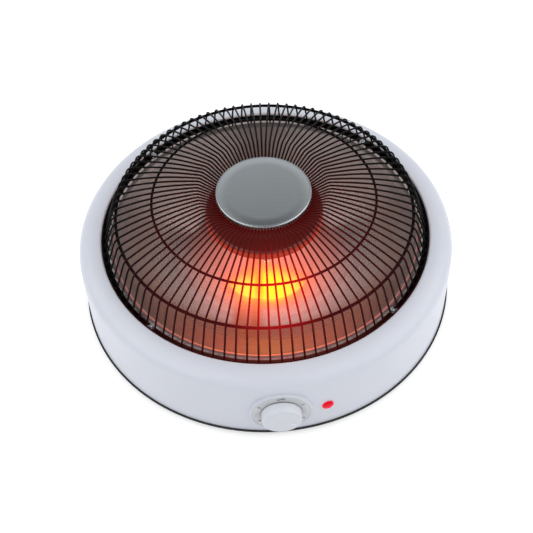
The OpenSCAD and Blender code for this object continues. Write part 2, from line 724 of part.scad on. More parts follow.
module cutout_screws() color([0.6, 0.6, 0.62])
    at(cutout_azimuth, cutout_at, shield_top + cutout_tab_t)
        for (x = [-cutout_screw_x, cutout_screw_x])
            translate([x, 0, 0]) pan_screw(2.4, 1.4, 1.4, cutout_tab_t + shield_t + 1.2);

lead_r = 1.4;
lead_z = floor_z + lead_r + touch;
shield_top = shield_z + shield_t;
lead_over_z = shield_z + shield_rim_h + lead_r + 1;
lead_ring_r = shield_r + lead_r + 7;
lead_run = 8;           // straight end of a lead, square to what it meets
switch_back = dial_back - switch_d - touch;
switch_pole_z = dial_z - 8;
sleeve_side = tube_r + 1 + touch;
block_face = block_y - block_d / 2 - touch;
cutout_pos = polar(cutout_azimuth, cutout_at, shield_top + cutout_h / 2);
cutout_side = cutout_r + touch;

module lead(points) {
    route = rounded(points, 9);
    sweep(route, [for (p = route) lead_r], 8);
}

// From the terminal block round the left of the base to the switch
module mains_lead() color([0.75, 0.2, 0.15])
    lead(concat(
        [[-pole_x, block_face, pole_z], [-pole_x, block_face - 4, pole_z]],
        [for (a = [205, 235, 265, 295, 325]) polar(a, lead_ring_r, lead_z)],
        [[-9, -switch_back + lead_run, switch_pole_z], [-9, -switch_back, switch_pole_z]]));

// Heat-proof leads of the element: to the switch, to the cut-out and back to the block
module switch_lead() color([0.85, 0.83, 0.78]) {
    leg = leg_at(loop_in_r) + [0, 0, leg_end_z - 1];
    lead([leg + [sleeve_side, 0, 0], leg + [30, 0, 0], [12, -shield_r + 6, lead_over_z],
        [9, -switch_back + lead_run, switch_pole_z], [9, -switch_back, switch_pole_z]]);
}

module cutout_lead() color([0.85, 0.83, 0.78]) {
    leg = leg_at(loop_out_r) + [0, 0, leg_end_z - 1];
    lead([leg + [0, sleeve_side, 0], leg + [0, 18, 0], cutout_pos + [-12, 34, 1],
        cutout_pos + [0, cutout_side + lead_run, 0], cutout_pos + [0, cutout_side, 0]]);
}

module return_lead() color([0.85, 0.83, 0.78])
    lead([cutout_pos + [cutout_side, 0, 0], cutout_pos + [cutout_side + lead_run, 0, 0],
        polar(130, shield_r - 12, lead_over_z), polar(155, shield_r - 8, lead_over_z),
        [pole_x, block_face - 4, lead_over_z], [pole_x, block_face - 4, pole_z],
        [pole_x, block_face, pole_z]]);

base_plate();
feet();
base_screws();
centre_pillar();
pillar_screw();
heat_shield();
shield_washer();
drum();
reflector();
reflector_screw();
element_insulators();
heating_element();
terminal_sleeves();
shade_pan();
refractory_disc();
shade_spacer();
hub_bolt();
hub_nut();
hub_plate();
guard_cap();
guard_wires();
guard_middle_ring();
guard_shoulder_ring();
guard_band();
guard_clips();
clip_screws();
dial_plate();
switch_screws();
rotary_switch();
switch_shaft();
control_knob();
pilot_lens();
pilot_holder();
cord_gland();
gland_nut();
terminal_block();
terminal_screws();
thermal_cutout();
cutout_screws();
mains_lead();
switch_lead();
cutout_lead();
return_lead();
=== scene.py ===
import json
import math

import bmesh
import bpy
from mathutils import Matrix, Vector


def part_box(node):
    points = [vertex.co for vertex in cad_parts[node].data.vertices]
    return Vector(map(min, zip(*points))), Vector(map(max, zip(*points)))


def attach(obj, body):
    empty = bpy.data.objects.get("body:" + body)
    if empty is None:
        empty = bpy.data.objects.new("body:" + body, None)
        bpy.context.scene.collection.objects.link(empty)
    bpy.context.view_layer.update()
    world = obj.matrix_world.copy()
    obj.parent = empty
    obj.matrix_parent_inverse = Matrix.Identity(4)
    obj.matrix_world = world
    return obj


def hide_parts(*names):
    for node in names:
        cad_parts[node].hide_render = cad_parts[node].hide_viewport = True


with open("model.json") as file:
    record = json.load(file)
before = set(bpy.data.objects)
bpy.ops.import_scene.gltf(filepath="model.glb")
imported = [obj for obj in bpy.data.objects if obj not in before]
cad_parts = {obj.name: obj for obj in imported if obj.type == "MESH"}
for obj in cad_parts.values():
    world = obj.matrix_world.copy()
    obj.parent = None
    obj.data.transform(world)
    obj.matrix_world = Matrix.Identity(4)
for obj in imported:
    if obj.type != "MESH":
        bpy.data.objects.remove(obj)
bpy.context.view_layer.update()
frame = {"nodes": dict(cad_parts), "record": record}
print("frame loaded:", len(frame["nodes"]), "nodes")

mm = 0.001
slotOf = {part["node"]: part["material_slot"] for part in frame["record"]["subparts"]}
dressed = set()


# Camera, at the photograph's viewing angle

cameraView = {
    "distance": 973.4,      # mm from the aim point
    "aimHeight": 120.3,     # mm above the floor
    "azimuth": -2.5,
    "elevation": 47.68,
    "pitch": -3.73,
    "roll": -2.27,
    "lens": 63.83,          # on a 36 mm sensor
}


def makeCamera(view):
    camera = bpy.data.cameras.new("camera")
    camera.sensor_width = 36
    camera.lens = view["lens"]
    camera.clip_start = 0.01
    holder = bpy.data.objects.new("camera", camera)
    bpy.context.scene.collection.objects.link(holder)
    azimuth = Matrix.Rotation(math.radians(view["azimuth"]), 4, "Z")
    elevation = math.radians(view["elevation"])
    back = azimuth @ Vector((0, -math.cos(elevation), math.sin(elevation)))
    place = Vector((0, 0, view["aimHeight"])) * mm + back * view["distance"] * mm
    holder.matrix_world = (
        Matrix.Translation(place) @ azimuth
        @ Matrix.Rotation(math.pi / 2 - elevation + math.radians(view["pitch"]), 4, "X")
        @ Matrix.Rotation(math.radians(view["roll"]), 4, "Z"))
    bpy.context.scene.camera = holder


makeCamera(cameraView)
print("camera placed")


# Materials

glowRed = (7.0, 1.75, 0.02, 1)      # linear light of the heater, far more red than green
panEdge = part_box("shade_pan")[0][2] / mm
coldZ = panEdge - 12                # below this the element's legs are cold
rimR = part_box("reflector")[1][0] / mm
pointerTop = -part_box("control_knob")[0][1] / mm


def srgb(hexColour):
    parts = [int(hexColour[i:i + 2], 16) / 255 for i in (1, 3, 5)]
    return [p / 12.92 if p <= 0.04045 else ((p + 0.055) / 1.055) ** 2.4 for p in parts] + [1]


def connect(tree, node, inputs):
    # Inputs come by name, or in the sockets' order. A node stands for its first output.
    for socket, value in inputs.items() if isinstance(inputs, dict) else enumerate(inputs):
        if isinstance(value, bpy.types.Node):
            value = value.outputs[0]
        if isinstance(value, bpy.types.NodeSocket):
            tree.links.new(value, node.inputs[socket])
        else:
            node.inputs[socket].default_value = value


def addNode(tree, kind, inputs=(), **settings):
    node = tree.nodes.new("ShaderNode" + kind)
    for name, value in settings.items():
        setattr(node, name, value)
    connect(tree, node, inputs)
    return node


def newMaterial(name, **sockets):
    material = bpy.data.materials.new(name)
    material.use_nodes = True
    tree = material.node_tree
    shader = tree.nodes["Principled BSDF"]
    connect(tree, shader, {socket.replace("_", " "): value for socket, value in sockets.items()})
    return material, tree, shader, addNode(tree, "TexCoord").outputs["Object"]


def betweenColours(tree, share, dark, light):
    ramp = addNode(tree, "ValToRGB", {"Fac": share})
    for stop, hexColour in zip(ramp.color_ramp.elements, (dark, light)):
        stop.color = srgb(hexColour)
    return ramp


def grain(tree, place, size, detail=2.0):
    # Noise whose lumps are about size mm across
    return addNode(tree, "TexNoise", {
        "Vector": place, "Scale": 1 / (size * mm), "Detail": detail,
    })


def axisDistance(tree, place):
    flat = addNode(tree, "VectorMath", (place, (1, 1, 0)), operation="MULTIPLY")
    return addNode(tree, "VectorMath", (flat,), operation="LENGTH").outputs["Value"]


def turning(tree, place, pitch, detail=1.0):
    # Noise along the radius alone, for rings about the vertical axis that are pitch mm apart
    return addNode(tree, "TexNoise", {
        "W": axisDistance(tree, place), "Scale": 1 / (pitch * mm), "Detail": detail,
    }, noise_dimensions="1D")


def spread(tree, noise, low, high):
    # Noise keeps mostly to 0.3 to 0.7, which becomes low to high
    return addNode(tree, "MapRange", (noise, 0.3, 0.7, low, high))


def along(tree, place, axis, low, high):
    # 0 to 1 as the place runs from low to high mm along an axis
    where = addNode(tree, "SeparateXYZ", (place,)).outputs[axis]
    return addNode(tree, "MapRange", (where, low * mm, high * mm, 0, 1))


def awayFrom(tree, place, centre):
    return addNode(tree, "VectorMath", (place, [c * mm for c in centre]),
                   operation="DISTANCE").outputs["Value"]


def nearTo(tree, place, centre, reach, most=1.0):
    # most at centre, fading to 0 at reach mm from it
    return addNode(tree, "MapRange", (awayFrom(tree, place, centre), 0, reach * mm, most, 0),
                   interpolation_type="SMOOTHERSTEP")


def insideRim(tree, away, low, high, start, end):
    # low to high as away from the axis grows from start to end mm inside the bowl's rim
    return addNode(tree, "MapRange", (away, (rimR - start) * mm, (rimR - end) * mm, low, high))


def powderCoat():
    # Polyester powder coat on steel: semi-gloss, with a faint orange peel about 1.5 mm across
    material, tree, shader, place = newMaterial(
        "powderCoatWhite", IOR=1.5, Coat_Weight=0.25, Coat_Roughness=0.12)
    connect(tree, shader, {
        "Base Color": betweenColours(tree, grain(tree, place, 60), "#dfe2ec", "#e6e9f2"),
        "Roughness": spread(tree, grain(tree, place, 9), 0.36, 0.44),
        "Normal": addNode(tree, "Bump", {
            "Height": grain(tree, place, 1.5, 1), "Distance": 0.02 * mm, "Strength": 0.35}),
    })
    return material


def stoveEnamel():
    # Baked black enamel on drawn wire, with a sheen that wanders. Over the lit bowl its emission
    # is painted light: the red that the bowl throws up between the wires.
    material, tree, shader, place = newMaterial(
        "stoveEnamelBlack", IOR=1.5, Specular_IOR_Level=0.07,
        Emission_Color=(1, 0.006, 0.01, 1))
    # painted red light: strongest over the front of the bowl, with a faint wide spread round it
    close = nearTo(tree, place, (0, -122, 130), 64, 0.6)
    wide = nearTo(tree, place, (0, -90, 125), 190, 0.07)
    connect(tree, shader, {
        "Emission Strength": addNode(tree, "Math", (close, wide), operation="ADD"),
        "Base Color": betweenColours(tree, grain(tree, place, 12), "#050607", "#0a0b0d"),
        "Roughness": spread(tree, grain(tree, place, 3), 0.4, 0.5),
        "Normal": addNode(tree, "Bump", {
            "Height": grain(tree, place, 1.2, 1), "Distance": 0.02 * mm, "Strength": 0.5}),
    })
    return material


def spunAluminium():
    # Polished aluminium, spun on a lathe: faint rings about the axis, 2 to 6 mm apart. Its
    # emission
    # is painted light: an orange glow round the element, centred a little in front of the axis,
    # and a painted reflection of the glow as a line along the rounded edge, strongest in front.
    # The bowl's wall is duller than its floor and its flat rim. Beside the guard's foot the rim
    # is painted near black, as painted shade.
    material, tree, shader, place = newMaterial("spunAluminium", Metallic=1.0)
    away = axisDistance(tree, place)
    # painted glow of the element's light on the bowl, in a near and a wide spread
    close = nearTo(tree, place, (0, -14, 30), 116)
    wide = nearTo(tree, place, (0, -90, 60), 150, 0.16)
    paintedGlow = addNode(tree, "Math", (close, wide), operation="ADD")
    # painted reflection: a thin line round the rounded edge between bowl and rim
    edge = addNode(tree, "Math", (insideRim(tree, away, 0, 1, 13.3, 12.5),
                                  insideRim(tree, away, 1, 0, 11.8, 11.0)), operation="MULTIPLY")
    # how strong the painted line is: most in front
    paintedLineReach = nearTo(tree, place, (0, -160, 80), 320, 0.7)
    bare = betweenColours(tree, turning(tree, place, 6, 3), "#aa9b97", "#b6aaa6")
    dull = addNode(tree, "MapRange", (away, 85 * mm, 130 * mm, 1, 0.68))
    flat = insideRim(tree, away, 1, 2.4, 9, 8.4)
    # painted shade: the rim goes near black beside the guard's foot
    paintedCreviceShade = insideRim(tree, away, 1, 0.02, 6.6, 6.1)
    for share in (dull, flat, paintedCreviceShade):
        bare = addNode(tree, "VectorMath", {0: bare, "Scale": share}, operation="SCALE")
    worn = addNode(tree, "MapRange", (away, 90 * mm, 135 * mm, 0, 0.2))
    rings = spread(tree, turning(tree, place, 2.2, 2), 0.12, 0.15)
    connect(tree, shader, {
        "Emission Strength": addNode(tree, "Math", (edge, paintedLineReach, paintedGlow),
                                     operation="MULTIPLY_ADD"),
        # the painted glow is yellower near the element and redder further out
        "Emission Color": betweenColours(
            tree, nearTo(tree, place, (0, -34, 30), 45), "#ff745e", "#ffa826"),
        "Base Color": bare,
        "Roughness": addNode(tree, "Math", (worn, insideRim(tree, away, 1, 0, 10, 8.5), rings),
                             operation="MULTIPLY_ADD"),
        "Normal": addNode(tree, "Bump", {
            "Height": turning(tree, place, 4), "Distance": 0.002 * mm, "Strength": 0.2}),
    })
    return material


def satinSteel():
    # Brushed stainless sheet: straight grain along X, drawn 0.4 mm wide and 30 mm long
    material, tree, shader, place = newMaterial("satinStainless", Metallic=1.0)
    brushed = addNode(tree, "Mapping", {"Vector": place, "Scale": (0.013, 1, 1)})
    connect(tree, shader, {
        "Base Color": betweenColours(tree, grain(tree, brushed, 0.4, 3), "#b4b9bb", "#bbc0c2"),
        "Roughness": spread(tree, grain(tree, brushed, 0.5, 3), 0.26, 0.34),
        "Normal": addNode(tree, "Bump", {
            "Height": grain(tree, brushed, 0.4), "Distance": 0.003 * mm, "Strength": 0.3}),
    })
    return material


def tintedSteel():
    # Bare steel that heat has browned, in clouds 20 mm across. Its emission is painted light: a
    # dull red over its top for the element's glow, brighter down its lip as a painted reflection
    # of the lit bowl.
    material, tree, shader, place = newMaterial(
        "heatTintedSteel", Metallic=1.0, Emission_Strength=1.0)
    # painted light: the emission grows from the top down the lip
    lip = along(tree, place, "Z", panEdge + 9.5, panEdge + 6)
    connect(tree, shader, {
        "Emission Color": betweenColours(tree, lip, "#501a15", "#b03c2a"),
        "Base Color": betweenColours(tree, grain(tree, place, 20, 3), "#4a2e2a", "#6e4f4a"),
        "Roughness": spread(tree, grain(tree, place, 4, 3), 0.22, 0.36),
        "Normal": addNode(tree, "Bump", {
            "Height": turning(tree, place, 1.1, 2), "Distance": 0.01 * mm, "Strength": 0.4}),
    })
    return material


def glowing(name, dark, strength, size):
    # Something red hot above coldZ: its own light drowns its colour, a little duller in patches
    material, tree, shader, place = newMaterial(
        name, Roughness=0.6, Base_Color=srgb(dark), Emission_Color=glowRed)
    patches = spread(tree, grain(tree, place, size), strength * 0.85, strength * 1.1)
    hot = along(tree, place, "Z", coldZ, coldZ + 6)
    connect(tree, shader, {
        "Emission Strength": addNode(tree, "Math", (patches, hot), operation="MULTIPLY"),
    })
    return material


def plainMetal(name, dark, light, low, high, size):
    # Small pressed and turned parts: an even metal with fine handling marks
    material, tree, shader, place = newMaterial(name, Metallic=1.0)
    connect(tree, shader, {
        "Base Color": betweenColours(tree, grain(tree, place, size, 3), dark, light),
        "Roughness": spread(tree, grain(tree, place, size / 2), low, high),
        "Normal": addNode(tree, "Bump", {
            "Height": grain(tree, place, 0.6, 1), "Distance": 0.01 * mm, "Strength": 0.3}),
    })
    return material


def moulded(name, dark, light, low, high, texture, depth, lightPart=None):
    # Moulded or fired parts: even colour, with the fine texture that the mould or kiln leaves.
    # lightPart finds what has the light colour, where that isn't a faint mottle.
    material, tree, shader, place = newMaterial(name, IOR=1.5)
    share = lightPart(tree, place) if lightPart else grain(tree, place, 15)
    connect(tree, shader, {
        "Base Color": betweenColours(tree, share, dark, light),
        "Roughness": spread(tree, grain(tree, place, 2), low, high),
        "Normal": addNode(tree, "Bump", {
            "Height": grain(tree, place, texture), "Distance": depth * mm, "Strength": 0.5}),
    })
    return material


def litLens():
    # Clear red polystyrene over a lit neon lamp: saturated red, faintly mottled
    material, tree, shader, place = newMaterial(
        "litRedLens", IOR=1.4, Roughness=0.1, Specular_IOR_Level=0.15,
        Emission_Color=(1, 0.002, 0.03, 1), Emission_Strength=0.62)
    connect(tree, shader, {
        "Base Color": betweenColours(tree, grain(tree, place, 4), "#7c0010", "#940016"),
    })
    return material


def wovenSleeve():
    # Woven glass sleeve: threads 0.5 mm apart, crossing
    material, tree, shader, place = newMaterial(
        "glassSleeve", Roughness=0.8, Sheen_Weight=0.2)
    weave = addNode(tree, "TexChecker", {"Vector": place, "Scale": 1 / (0.5 * mm)}).outputs["Fac"]
    connect(tree, shader, {
        "Base Color": betweenColours(tree, weave, "#c9c2ae", "#ded8c6"),
        "Normal": addNode(tree, "Bump", {
            "Height": weave, "Distance": 0.06 * mm, "Strength": 0.5}),
    })
    return material


def dialPlastic(face, z, r):
    # The plate within the raised rim is painted a shade whiter than the rim: painted light
    # against
    # # the shade that the rim and the knob cast on the plate, and the rim a shade darker against
    # its light
    def plate(tree, place):
        away = awayFrom(tree, place, (0, -face, z))
        return addNode(tree, "MapRange", (away, (r - 0.3) * mm, (r + 0.2) * mm, 1, 0))
    return moulded("dialPlastic", "#dfe2ea", "#ffffff", 0.34, 0.42, 0.4, 0.004, plate)


def knobPlastic():
    # The pointer stands out of the knob's face and is a shade whiter
    def pointer(tree, place):
        return along(tree, place, "Y", 0.35 - pointerTop, 0.15 - pointerTop)
    return moulded("knobPlastic", "#e6e9f0", "#ffffff", 0.34, 0.42, 0.4, 0.004, pointer)


finishes = {
    "drum_white": powderCoat(),
    "black_enamel": stoveEnamel(),
    "reflector_aluminium": spunAluminium(),
    "cap_steel": satinSteel(),
    "shade_steel": tintedSteel(),
    "element_sheath": glowing("glowingSheath", "#5a4038", 1.0, 6),
    "base_black": moulded("satinBlackPaint", "#0b0c0e", "#131417", 0.42, 0.55, 0.8, 0.01),
    "zinc_steel": plainMetal("brightZinc", "#b3b6b9", "#cdd0d2", 0.16, 0.28, 3),
    "galvanised": plainMetal("galvanisedSheet", "#8d9094", "#a9acb0", 0.35, 0.5, 12),
    "brass": plainMetal("platedBrass", "#b08a3c", "#c9a552", 0.25, 0.35, 3),
    "ceramic_white": moulded("steatiteCeramic", "#e2ddcf", "#efebe0", 0.5, 0.65, 0.5, 0.015),
    "rubber_black": moulded("blackRubber", "#0e0e0f", "#17171a", 0.7, 0.85, 0.7, 0.02),
    "control_white": knobPlastic(),
    "plastic_black": moulded("blackNylon", "#101114", "#191a1e", 0.45, 0.58, 0.5, 0.01),
    "block_ivory": moulded("ivoryNylon", "#d5cfbb", "#e0dbc9", 0.4, 0.5, 0.6, 0.01),
    "lens_red": litLens(),
    "lead_red": moulded("redSilicone", "#8a1510", "#9c1d16", 0.5, 0.62, 0.9, 0.01),
    "lead_sleeve": wovenSleeve(),
}
litCeramic = glowing("glowingCeramic", "#d8c8a8", 0.9, 14)
dialInk = moulded("dialInk", "#2b3040", "#343a4c", 0.5, 0.6, 0.4, 0.002)
print("materials made:", len(bpy.data.materials))


def midHeight(node):
    low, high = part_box(node)
    return (low[2] + high[2]) / 2 / mm


# Pieces: a bmesh becomes an object that rides on a body and stands for its CAD nodes

softCrease = 35               # degrees: a sharper edge isn't smoothed over
sheetCrease = 60
mergeGap = 0.001              # mm: vertices nearer than this become one


def finishPiece(name, bm, nodes, material=None, body="root", crease=softCrease):
    mesh = bpy.data.meshes.new(name)
    bm.to_mesh(mesh)
    bm.free()
    mesh.shade_smooth()
    mesh.set_sharp_from_angle(angle=math.radians(crease))
    mesh.materials.append(material or finishes[slotOf[nodes[0]]])
    piece = bpy.data.objects.new(name, mesh)
    bpy.context.scene.collection.objects.link(piece)
    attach(piece, body)
    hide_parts(*nodes)
    dressed.update(nodes)
    return piece


# A profile is drawn in the XZ plane, X being the radius, and spun about the vertical axis.

def startAt(bm, r, z):
    return [bm.verts.new((r * mm, 0, z * mm))]


def lineTo(bm, path, r, z):
    path.append(bm.verts.new((r * mm, 0, z * mm)))
    bm.edges.new(path[-2:])


def arcTo(bm, path, r, z, degrees, steps, stretch=(1, 1)):
    # Turns the path's end about (r, z), counter-clockwise, then stretches the arc from there
    centre = Vector((r * mm, 0, z * mm))
    known = set(bm.verts)
    spun = bmesh.ops.spin(bm, geom=[path[-1]], cent=centre, axis=(0, 1, 0),
                          angle=-math.radians(degrees), steps=steps)
    fresh = [v for v in bm.verts if v not in known]
    bmesh.ops.scale(bm, verts=fresh, vec=(stretch[0], 1, stretch[1]),
                    space=Matrix.Translation(-centre))
    path.append([g for g in spun["geom_last"] if isinstance(g, bmesh.types.BMVert)][0])


def spinRound(bm, steps):
    bmesh.ops.spin(bm, geom=bm.verts[:] + bm.edges[:], cent=(0, 0, 0), axis=(0, 0, 1),
                   angle=2 * math.pi, steps=steps, use_merge=True)
    bmesh.ops.remove_doubles(bm, verts=bm.verts, dist=mergeGap * mm)
    bmesh.ops.recalc_face_normals(bm, faces=bm.faces)


def applied(piece, crease):
    # Writes the piece's modifiers into its mesh
    graph = bpy.context.evaluated_depsgraph_get()
    mesh = bpy.data.meshes.new_from_object(piece.evaluated_get(graph))
    mesh.set_sharp_from_angle(angle=math.radians(crease))
    piece.modifiers.clear()
    piece.data = mesh


def finishSheet(name, bm, node, thickness):
    # Turns an open sheet's faces up, and gives it a wall of that thickness, mm, under them
    if sum(f.normal.z * f.calc_area() for f in bm.faces) < 0:
        bmesh.ops.reverse_faces(bm, faces=bm.faces)
    piece = finishPiece(name, bm, [node], crease=sheetCrease)
    wall = piece.modifiers.new("wall", "SOLIDIFY")
    wall.thickness = thickness * mm
    wall.offset = -1
    wall.use_even_offset = True
    applied(piece, sheetCrease)


def outward(azimuth, r, z):
    # A place on the drum: its own Z points out of the wall, its Y up
    return (Matrix.Rotation(math.radians(azimuth), 4, "Z")
            @ Matrix.Translation((0, -r * mm, z * mm)) @ Matrix.Rotation(math.pi / 2, 4, "X"))


def cutHole(piece, azimuth, r, z, holeR, depth, sides):
    # A round hole through a wall that stands at radius r
    bm = bmesh.new()
    bmesh.ops.create_cone(bm, cap_ends=True, segments=sides, radius1=holeR * mm,
                          radius2=holeR * mm, depth=depth * mm, matrix=outward(azimuth, r, z))
    bmesh.ops.recalc_face_normals(bm, faces=bm.faces)
    mesh = bpy.data.meshes.new("cutter")
    bm.to_mesh(mesh)
    bm.free()
    cutter = bpy.data.objects.new("cutter", mesh)
    bpy.context.scene.collection.objects.link(cutter)
    cut = piece.modifiers.new("hole", "BOOLEAN")
    cut.operation = "DIFFERENCE"
    cut.solver = "EXACT"
    cut.object = cutter
    applied(piece, softCrease)
    bpy.data.objects.remove(cutter)


# Drum

low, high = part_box("drum")
drum = {
    "footR": high[0] / mm,
    "footZ": low[2] / mm,
    "topZ": high[2] / mm,
    "lean": 1.4,              # of the wall, between foot and shoulder
    "shoulder": (22.5, 14),   # width and height of the rounded shoulder
    "roll": 2,                # radius of the mouth's rolled edge
    "seatDrop": 6,            # from the top down to the seat of the bowl's rim
    "seatW": 8.5,
    "footFlangeW": 12,
    "sheet": 1,
    "steps": 256,
    "holes": (                # azimuth, node in the hole, its radius
        (0, "dial_plate", 19.7),
        (13.4, "pilot_lens", 4.85),
        (180, "cord_gland", 6.9),
    ),
    "holeDepth": 16,          # of the cutter, half of it on each side of the wall
    "holeSides": 96,
}
drum["shoulderR"] = drum["footR"] - drum["lean"]
drum["shoulderZ"] = drum["topZ"] - drum["shoulder"][1]
drum["rollR"] = drum["shoulderR"] - drum["shoulder"][0]
drum["mouthR"] = drum["rollR"] - drum["roll"]
drum["seatZ"] = drum["topZ"] - drum["seatDrop"]


def wallRadius(z):
    rise = (z - drum["footZ"]) / (drum["shoulderZ"] - drum["footZ"])
    return drum["footR"] - drum["lean"] * rise


def makeDrum(d):
    wide, tall = d["shoulder"]
    t = d["sheet"]
    bm = bmesh.new()
    path = startAt(bm, d["footR"], d["footZ"])
    lineTo(bm, path, d["shoulderR"], d["shoulderZ"])
    arcTo(bm, path, d["rollR"], d["shoulderZ"], 90, 24, (1, tall / wide))
    arcTo(bm, path, d["rollR"], d["topZ"] - d["roll"], 90, 10)
    lineTo(bm, path, d["mouthR"], d["seatZ"])
    lineTo(bm, path, d["mouthR"] - d["seatW"], d["seatZ"])
    lineTo(bm, path, d["mouthR"] - d["seatW"], d["seatZ"] - t)
    lineTo(bm, path, d["mouthR"] + t, d["seatZ"] - t)
    lineTo(bm, path, d["mouthR"] + t, d["topZ"] - d["roll"])
    arcTo(bm, path, d["rollR"], d["topZ"] - d["roll"], -90, 6)
    arcTo(bm, path, d["rollR"], d["shoulderZ"], -90, 16, ((wide - t) / (tall - t), 1))
    lineTo(bm, path, d["footR"] - t, d["footZ"] + t)
    lineTo(bm, path, d["footR"] - t - d["footFlangeW"], d["footZ"] + t)
    lineTo(bm, path, d["footR"] - t - d["footFlangeW"], d["footZ"])
    bm.edges.new((path[-1], path[0]))
    spinRound(bm, d["steps"])
    piece = finishPiece("drum_shell", bm, ["drum"])
    for azimuth, node, holeR in d["holes"]:
        z = midHeight(node)
        cutHole(piece, azimuth, wallRadius(z), z, holeR, d["holeDepth"], d["holeSides"])


makeDrum(drum)
print("drum made")


# Reflector

low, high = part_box("reflector")
dish = {
    "floorR": 51.5,           # of the flat middle
    "slope": 7,               # degrees, where the bowl leaves the floor
    "rimR": rimR,
    "rimZ": high[2] / mm,
    "rimW": 8.5,
    "edgeR": 11,              # rounded edge between bowl and rim
    "sheet": 0.8,
    "steps": 256,
}
dish["floorZ"] = low[2] / mm + dish["sheet"]
dish["rimInR"] = dish["rimR"] - dish["rimW"]


def makeReflector(d):
    rise = math.atan2(d["rimZ"] - d["floorZ"], d["rimInR"] - d["floorR"])
    edgeTurn = 2 * rise - math.radians(d["slope"])
    top = Vector((d["rimInR"] - d["edgeR"] * math.sin(edgeTurn),
                  d["rimZ"] - d["edgeR"] * (1 - math.cos(edgeTurn))))
    chord = top - Vector((d["floorR"], d["floorZ"]))
    turn = 2 * (math.degrees(math.atan2(chord.y, chord.x)) - d["slope"])
    bowlR = chord.length / (2 * math.sin(math.radians(turn / 2)))
    slope = math.radians(d["slope"])
    bm = bmesh.new()
    path = startAt(bm, 0, d["floorZ"])
    lineTo(bm, path, d["floorR"], d["floorZ"])
    arcTo(bm, path, d["floorR"] - bowlR * math.sin(slope), d["floorZ"] + bowlR * math.cos(slope),
          turn, 48)
    arcTo(bm, path, d["rimInR"], d["rimZ"] - d["edgeR"], -math.degrees(edgeTurn), 10)
    lineTo(bm, path, d["rimR"], d["rimZ"])
    spinRound(bm, d["steps"])
    finishSheet("reflector_bowl", bm, "reflector", d["sheet"])


makeReflector(dish)
print("reflector made")


# Cap over the hub

low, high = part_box("guard_cap")
cap = {
    "r": high[0] / mm,
    "topZ": high[2] / mm,
    "crown": 0.6,             # rise of the top towards its middle
    "dome": ((0.25, 0.04), (0.5, 0.15), (0.75, 0.35)),    # share of the radius, and drop there
    "grooveR": 46.6,
    "groove": (0.7, 0.15),    # width and depth
    "roll": 1.8,              # radius of the edge
    "footZ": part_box("hub_plate")[1][2] / mm + 2.15,       # clear of the wires on the hub plate
    "sheet": 0.8,
    "steps": 192,
}


def makeCap(c):
    edgeZ = c["topZ"] - c["crown"]
    grooveW, grooveD = c["groove"]
    bm = bmesh.new()
    path = startAt(bm, 0, c["topZ"])
    for share, drop in c["dome"]:
        lineTo(bm, path, c["r"] * share, c["topZ"] - drop)
    lineTo(bm, path, c["grooveR"] - grooveW / 2, edgeZ)
    lineTo(bm, path, c["grooveR"], edgeZ - grooveD)
    lineTo(bm, path, c["r"] - c["roll"], edgeZ)
    arcTo(bm, path, c["r"] - c["roll"], edgeZ - c["roll"], -90, 10)
    lineTo(bm, path, c["r"], c["footZ"])
    spinRound(bm, c["steps"])
    finishSheet("hub_cap", bm, "guard_cap", c["sheet"])


makeCap(cap)
print("cap made")


# Wire guard: each wire runs in a radial plane through the same corners as the CAD's

low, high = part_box("guard_band")
guard = {
    "wires": 96,
    "wireR": 1.0,
    "sides": 8,
    "phase": 1.3,             # degrees from the front to the first wire
    "footUp": 0.5,            # the wires' ends over the band's foot
    "sideH": 38.2,            # from the drum's seat up to the shoulder
    "lean": 13.7,             # from the foot in to the shoulder
    "crown": (115.5, 17.3),   # radius of the crown, and its height over the shoulder
    "kink": (17.5, 7),        # distance outside the cap, and height over the crown
    "hub": (1.5, -10),        # distance outside the cap, and height over the kink
    "hubEndR": 34,
    "bends": (6, 8, None, 14),    # radii from the hub outwards; the crown's bend is worked out
    "crownShare": 0.8,        # of the shorter straight beside it that the crown's bend takes
    "steps": (2, 2, 6, 8),
    "weld": 0.05,             # between a wire and what it is welded to
    "middleR": 1.3,
    "shoulderR": 1.6,
    "ringSides": 12,
    "ringSteps": 192,
    "bandR": high[0] / mm,
    "bandZ": low[2] / mm,
    "bandH": (high[2] - low[2]) / mm,
    "bandT": 1.2,
    "bandCrease": 50,
}


def wireCourse(g):
    # Corners of a wire as (radius, height), from the hub to the band
    foot = Vector((g["bandR"] - g["bandT"] - g["wireR"] - g["weld"], g["bandZ"] + g["footUp"]))
    shoulder = Vector((foot.x - g["lean"], drum["seatZ"] + g["sideH"]))
    crown = Vector((g["crown"][0], shoulder.y + g["crown"][1]))
    kink = Vector((cap["r"] + g["kink"][0], crown.y + g["kink"][1]))
    hub = Vector((cap["r"] + g["hub"][0], kink.y + g["hub"][1]))
    return [Vector((g["hubEndR"], hub.y)), hub, kink, crown, shoulder, foot]


def wireBends(g, corners):
    # (start, heading before, turn, radius) of each bend, angles in radians
    ways = [(b - a).normalized() for a, b in zip(corners, corners[1:])]
    spans = [(b - a).length for a, b in zip(corners, corners[1:])]
    headings = [math.atan2(way.y, way.x) for way in ways]
    bends = []
    for i in range(1, 5):
        turn = headings[i] - headings[i - 1]
        reach = math.tan(abs(turn) / 2)
        bendR = g["bends"][i - 1] or g["crownShare"] * min(spans[2], spans[3]) / reach
        start = corners[i] - ways[i - 1] * bendR * reach
        bends.append((start, headings[i - 1], turn, bendR))
    return bends


def bendCentre(bend):
    start, heading, turn, bendR = bend
    side = math.copysign(bendR, turn)
    return start + side * Vector((-math.sin(heading), math.cos(heading)))


def rimEdges(geom):
    # The edges in geom whose two ends are in it too
    verts = {g for g in geom if isinstance(g, bmesh.types.BMVert)}
    return [g for g in geom if isinstance(g, bmesh.types.BMEdge) and set(g.verts) <= verts]


